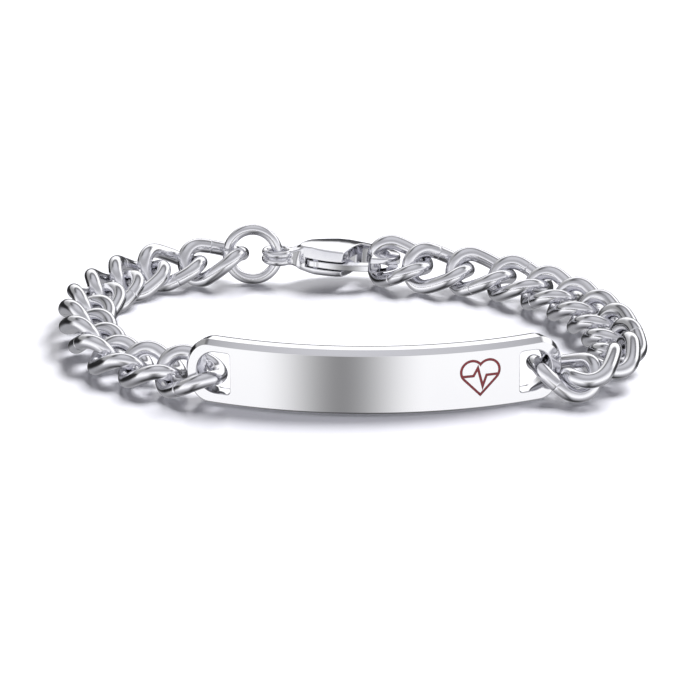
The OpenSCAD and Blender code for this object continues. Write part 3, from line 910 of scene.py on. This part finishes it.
def route_link(side, j):
    """Heading, roll, twist and middle of a link in the chain. The last link climbs to the ring."""
    route = right_route if side > 0 else left_route
    a, b = route_at(route, j * LINK_PITCH), route_at(route, (j + 1) * LINK_PITCH)
    climb = math.radians(RING_CLIMB) if side < 0 and j == LEFT_LINKS - 1 else 0.0
    t = side * Vector((b[0] - a[0], b[1] - a[1], 0)).normalized()
    t = Vector((t.x * math.cos(climb), t.y * math.cos(climb), side * math.sin(climb)))
    middle = [(p + q) / 2 for p, q in zip(a, b)]
    return t, middle[2], -LINK_TWIST, middle


def hung_link(side, hang):
    """Heading, roll, twist and middle of the link that hangs in the plate's slot."""
    drop = math.radians(hang.drop)
    x, y = hang_heading(hang)
    t = Vector((x * math.cos(drop), y * math.cos(drop), -side * math.sin(drop)))
    return t, hang.roll, -hang.twist, hang_middle(side, hang)


def chain_wires(side, count, hang):
    """The wires of one chain, from the plate outwards."""
    made = []
    for j in range(count):
        t, roll, twist, middle = hung_link(side, hang) if j == 0 else route_link(side, j)
        made.append(link_wire(t, roll, twist, middle, SEAMS[j]))
    return made


def far_from(points, line):
    """Distance of each point from the nearest of a line's points."""
    return np.sqrt(((points[:, None] - line[None]) ** 2).sum(2).min(1))


def pressed_wire(wire, neighbours, solids):
    """The wire's surface, drawn in where a neighbouring wire or solid is in its way."""
    middles, through, across, dips, _ = wire
    turn = 2 * np.pi * np.arange(WIRE_SIDES) / WIRE_SIDES
    ways = (WIRE_THROUGH * np.cos(turn)[None, :, None] * through[:, None]
            + WIRE_ACROSS * np.sin(turn)[None, :, None] * across[:, None])
    size = np.linalg.norm(ways, axis=2)
    ways = (ways / size[:, :, None]).reshape(-1, 3)
    size = (size - dips[:, None]).ravel()
    roots = np.repeat(middles, WIRE_SIDES, axis=0)

    def tight(which, sizes, lines, spare):
        points = roots[which] + sizes[:, None] * ways[which]
        room = np.full(len(points), np.inf)
        for line in lines:
            room = np.minimum(room, far_from(points, line) - sizes)
        for solid in solids:
            room = np.minimum(room, solid(points))
        return room < spare

    near = [n[far_from(n, middles) < PRESS_REACH] for n in neighbours]
    near = [n for n in near if len(n)]
    rough = [n[::ROUGH_LINE] for n in near]
    pressed = np.flatnonzero(tight(np.arange(len(size)), size, rough, CONTACT_GAP + PRESS_SPARE))
    if len(pressed):
        low, high = PRESS_SHARE * size[pressed], size[pressed].copy()
        trial = high.copy()
        for _ in range(PRESS_HALVINGS):
            shut = tight(pressed, trial, near, CONTACT_GAP)
            high = np.where(shut, trial, high)
            low = np.where(shut, low, trial)
            trial = (low + high) / 2
        size[pressed] = low
    size = size.reshape(len(middles), WIRE_SIDES)
    for _ in range(PRESS_SMOOTHINGS):
        size = np.minimum(size, (np.roll(size, 1, 0) + np.roll(size, -1, 0) + np.roll(size, 1, 1)
                                 + np.roll(size, -1, 1) + 2 * size) / 6)
    return roots + size.ravel()[:, None] * ways


def off_the_ring(points):
    """Distance out of the jump ring."""
    a = np.linspace(0, 2 * np.pi, RING_LINE_STEPS)
    lean = math.radians(90 - RING_LEAN)
    line = np.stack([RING_MEAN * np.cos(a), RING_MEAN * np.sin(a) * math.cos(lean),
                     RING_MEAN * np.sin(a) * math.sin(lean)], 1)
    line = line + np.array([ring_x + SHIFT.x, left_end[1] + SHIFT.y, RING_HEIGHT])
    return far_from(points, line) - RING_WIRE / 2


def off_the_plate(points):
    """Distance out of the plate, with its two slots open."""
    cx, cy = plate_centre(FIT)
    x, y = points[:, 0] - SHIFT.x - cx, points[:, 1] - SHIFT.y - cy
    depth = PLATE_RADIUS - np.hypot(x, y)
    s = np.abs((np.arctan2(x, -y) - math.radians(PLATE_TURN)) * PLATE_RADIUS)
    half = PLATE_HEIGHT / 2
    h = points[:, 2] - half
    slab = np.maximum(np.maximum(-depth, depth - PLATE_THICKNESS), np.abs(h) - half)
    end = np.hypot(np.maximum(s - PLATE_LENGTH / 2 + half, 0), h) - half
    round_end = np.hypot(s - SLOT_MIDDLE, h) - SLOT_ROUND
    box = np.maximum(np.maximum(SLOT_INNER - s, s - SLOT_MIDDLE), np.abs(h) - SLOT_ROUND)
    return np.maximum(np.maximum(slab, end), -np.minimum(round_end, box))


def off_the_clasp(points):
    """Room to the clasp's body, and to its lever shut, half open and open."""
    x, y, z = ((points - np.array(CLASP_PLACE)) @ np.array(clasp_turn())).T
    room = clasp_body_form(x, y, z)
    along, over = x - PIVOT[0], y - PIVOT[1]
    for share in (0, 0.5, 1):
        swing = share * math.radians(LEVER_SWING)
        c, s = math.cos(swing), math.sin(swing)
        lever = clasp_lever_form(PIVOT[0] + c * along + s * over, PIVOT[1] + c * over - s * along, z)
        room = np.minimum(room, lever - LEVER_SPARE)
    return room


def make_chains():
    """Both chains, with each link pressed by the two links before it and after it."""
    for word, side, count, hang, off_the_end in (("right", 1, RIGHT_LINKS, RIGHT_HANG, off_the_clasp),
                                                 ("left", -1, LEFT_LINKS, LEFT_HANG, off_the_ring)):
        wires = chain_wires(side, count, hang)
        for j, wire in enumerate(wires):
            neighbours = [wires[k][4] for k in range(max(j - 2, 0), min(j + 3, count)) if k != j]
            solids = ([off_the_plate] if j < 2 else []) + ([off_the_end] if j >= count - 2 else [])
            points = pressed_wire(wire, neighbours, solids)
            faces = [face[::-1] for face in tube_faces(len(wire[0]), WIRE_SIDES, True)]
            new_piece(f"{word}_wire_link_{j + 1}", points.tolist(), faces, wire_steel, "bracelet",
                      [f"{word}_link_{j + 1}"])


make_plate()
make_heart()
make_ring()
make_chains()
make_clasp()


# Table top, light and camera

def make_table():
    mesh = bpy.data.meshes.new("table_top")
    corners = ((-1, -1), (1, -1), (1, 1), (-1, 1))
    mesh.from_pydata([(TABLE_REACH * x, TABLE_REACH * y, 0) for x, y in corners], [], [(0, 1, 2, 3)])
    table = bpy.data.objects.new("table_top", mesh)
    bpy.context.scene.collection.objects.link(table)
    mesh.materials.append(white_table())
    table.visible_glossy = False


def make_sky():
    """A white tent that the steel mirrors. It is bright level with the bracelet in front and high
    up behind, dark level with it behind, and dim underneath and at the left behind. A grey strip
    low in front shades the plate's middle."""
    world = bpy.data.worlds.new("white_tent")
    bpy.context.scene.world = world
    world.use_nodes = True
    tree = world.node_tree
    tree.nodes.clear()

    def maths(work, *inputs):
        values = {k: v for k, v in enumerate(inputs) if isinstance(v, float)}
        links = {k: v for k, v in enumerate(inputs) if not isinstance(v, float)}
        return add_node(tree, "ShaderNodeMath", {"operation": work, **values}, links).outputs[0]

    def eased(value, start, end, low, high):
        return add_node(tree, "ShaderNodeMapRange", {
            "interpolation_type": "SMOOTHSTEP", "From Min": start, "From Max": end,
            "To Min": low, "To Max": high}, {"Value": value}).outputs["Result"]

    def heights(stops):
        ramp = add_node(tree, "ShaderNodeValToRGB", None, {"Fac": maths("MULTIPLY_ADD", z, 0.5, 0.5)})
        bar = ramp.color_ramp.elements
        while len(bar) < len(stops):
            bar.new(0.5)
        for spot, (height, light) in zip(bar, stops):
            tint = GREY_TINT if light < WHITE else 1.0
            spot.position = (height + 1) / 2
            spot.color = (light * tint, light * tint, light, 1)
        return ramp.outputs["Color"]

    way = add_node(tree, "ShaderNodeTexCoord")
    parts = add_node(tree, "ShaderNodeSeparateXYZ", None, {0: way.outputs["Generated"]})
    x, y, z = (parts.outputs[k] for k in range(3))
    tent = add_node(tree, "ShaderNodeMixRGB", None, {
        "Fac": eased(y, -0.15, 0.2, 0.0, 1.0),
        "Color1": heights(FRONT_LIGHT), "Color2": heights(BACK_LIGHT)})
    # A grey strip, a little left of straight in front and below the bracelet's level.
    front = maths("MULTIPLY", y, -1.0)
    aside = maths("ABSOLUTE", maths("ADD", maths("ARCTAN2", x, front), math.radians(8)))
    strip = maths("MAXIMUM", eased(aside, 0.0, math.radians(28), 0.27, 1.0), eased(z, -0.2, 0.1, 0.0, 1.0))
    # The left side is dimmed, but not in front and not low down.
    clear = maths("MAXIMUM", eased(z, -0.12, -0.3, 0.0, 1.0), eased(y, 0.2, -0.2, 0.0, 1.0))
    left_shade = maths("MAXIMUM", eased(x, -0.75, -0.15, 0.3, 1.0), clear)
    mixed = add_node(tree, "ShaderNodeMixRGB", {"blend_type": "MULTIPLY", "Fac": 1.0},
                     {"Color1": tent.outputs["Color"], "Color2": maths("MULTIPLY", strip, left_shade)})
    # The table gets less of the tent's light than the steel, so that the lamp's shadows show.
    rays = add_node(tree, "ShaderNodeLightPath")
    strength = maths("MULTIPLY_ADD", rays.outputs["Is Diffuse Ray"], -0.82, 1.12)
    glow = add_node(tree, "ShaderNodeBackground", None,
                    {"Color": mixed.outputs["Color"], "Strength": strength})
    add_node(tree, "ShaderNodeOutputWorld", None, {"Surface": glow.outputs["Background"]})


def make_lamp():
    """A large soft lamp, high up behind and to the right."""
    data = bpy.data.lights.new("overhead_box", "AREA")
    data.shape = "DISK"
    data.size = LAMP_SIZE
    data.energy = LAMP_WATTS
    lamp = bpy.data.objects.new("overhead_box", data)
    bpy.context.scene.collection.objects.link(lamp)
    lamp.location = LAMP_PLACE
    lamp.rotation_mode = "QUATERNION"
    lamp.rotation_quaternion = (-lamp.location).to_track_quat("-Z", "Y")
    lamp.visible_glossy = False


def make_camera():
    data = bpy.data.cameras.new("camera")
    data.sensor_width = FILM
    data.lens = LENS / PICTURE * FILM
    data.shift_y = -LENS_SHIFT / PICTURE
    data.clip_start, data.clip_end = 0.01, 10.0
    camera = bpy.data.objects.new("camera", data)
    bpy.context.scene.collection.objects.link(camera)
    lift = math.radians(CAMERA_LIFT)
    back = Vector((0, -math.cos(lift), math.sin(lift)))
    camera.location = Vector(CAMERA_AIM) * MM + back * CAMERA_AWAY
    camera.rotation_mode = "QUATERNION"
    camera.rotation_quaternion = (-back).to_track_quat("-Z", "Y")
    bpy.context.scene.camera = camera


make_table()
make_sky()
make_lamp()
make_camera()
bpy.context.scene.view_settings.view_transform = "Standard"
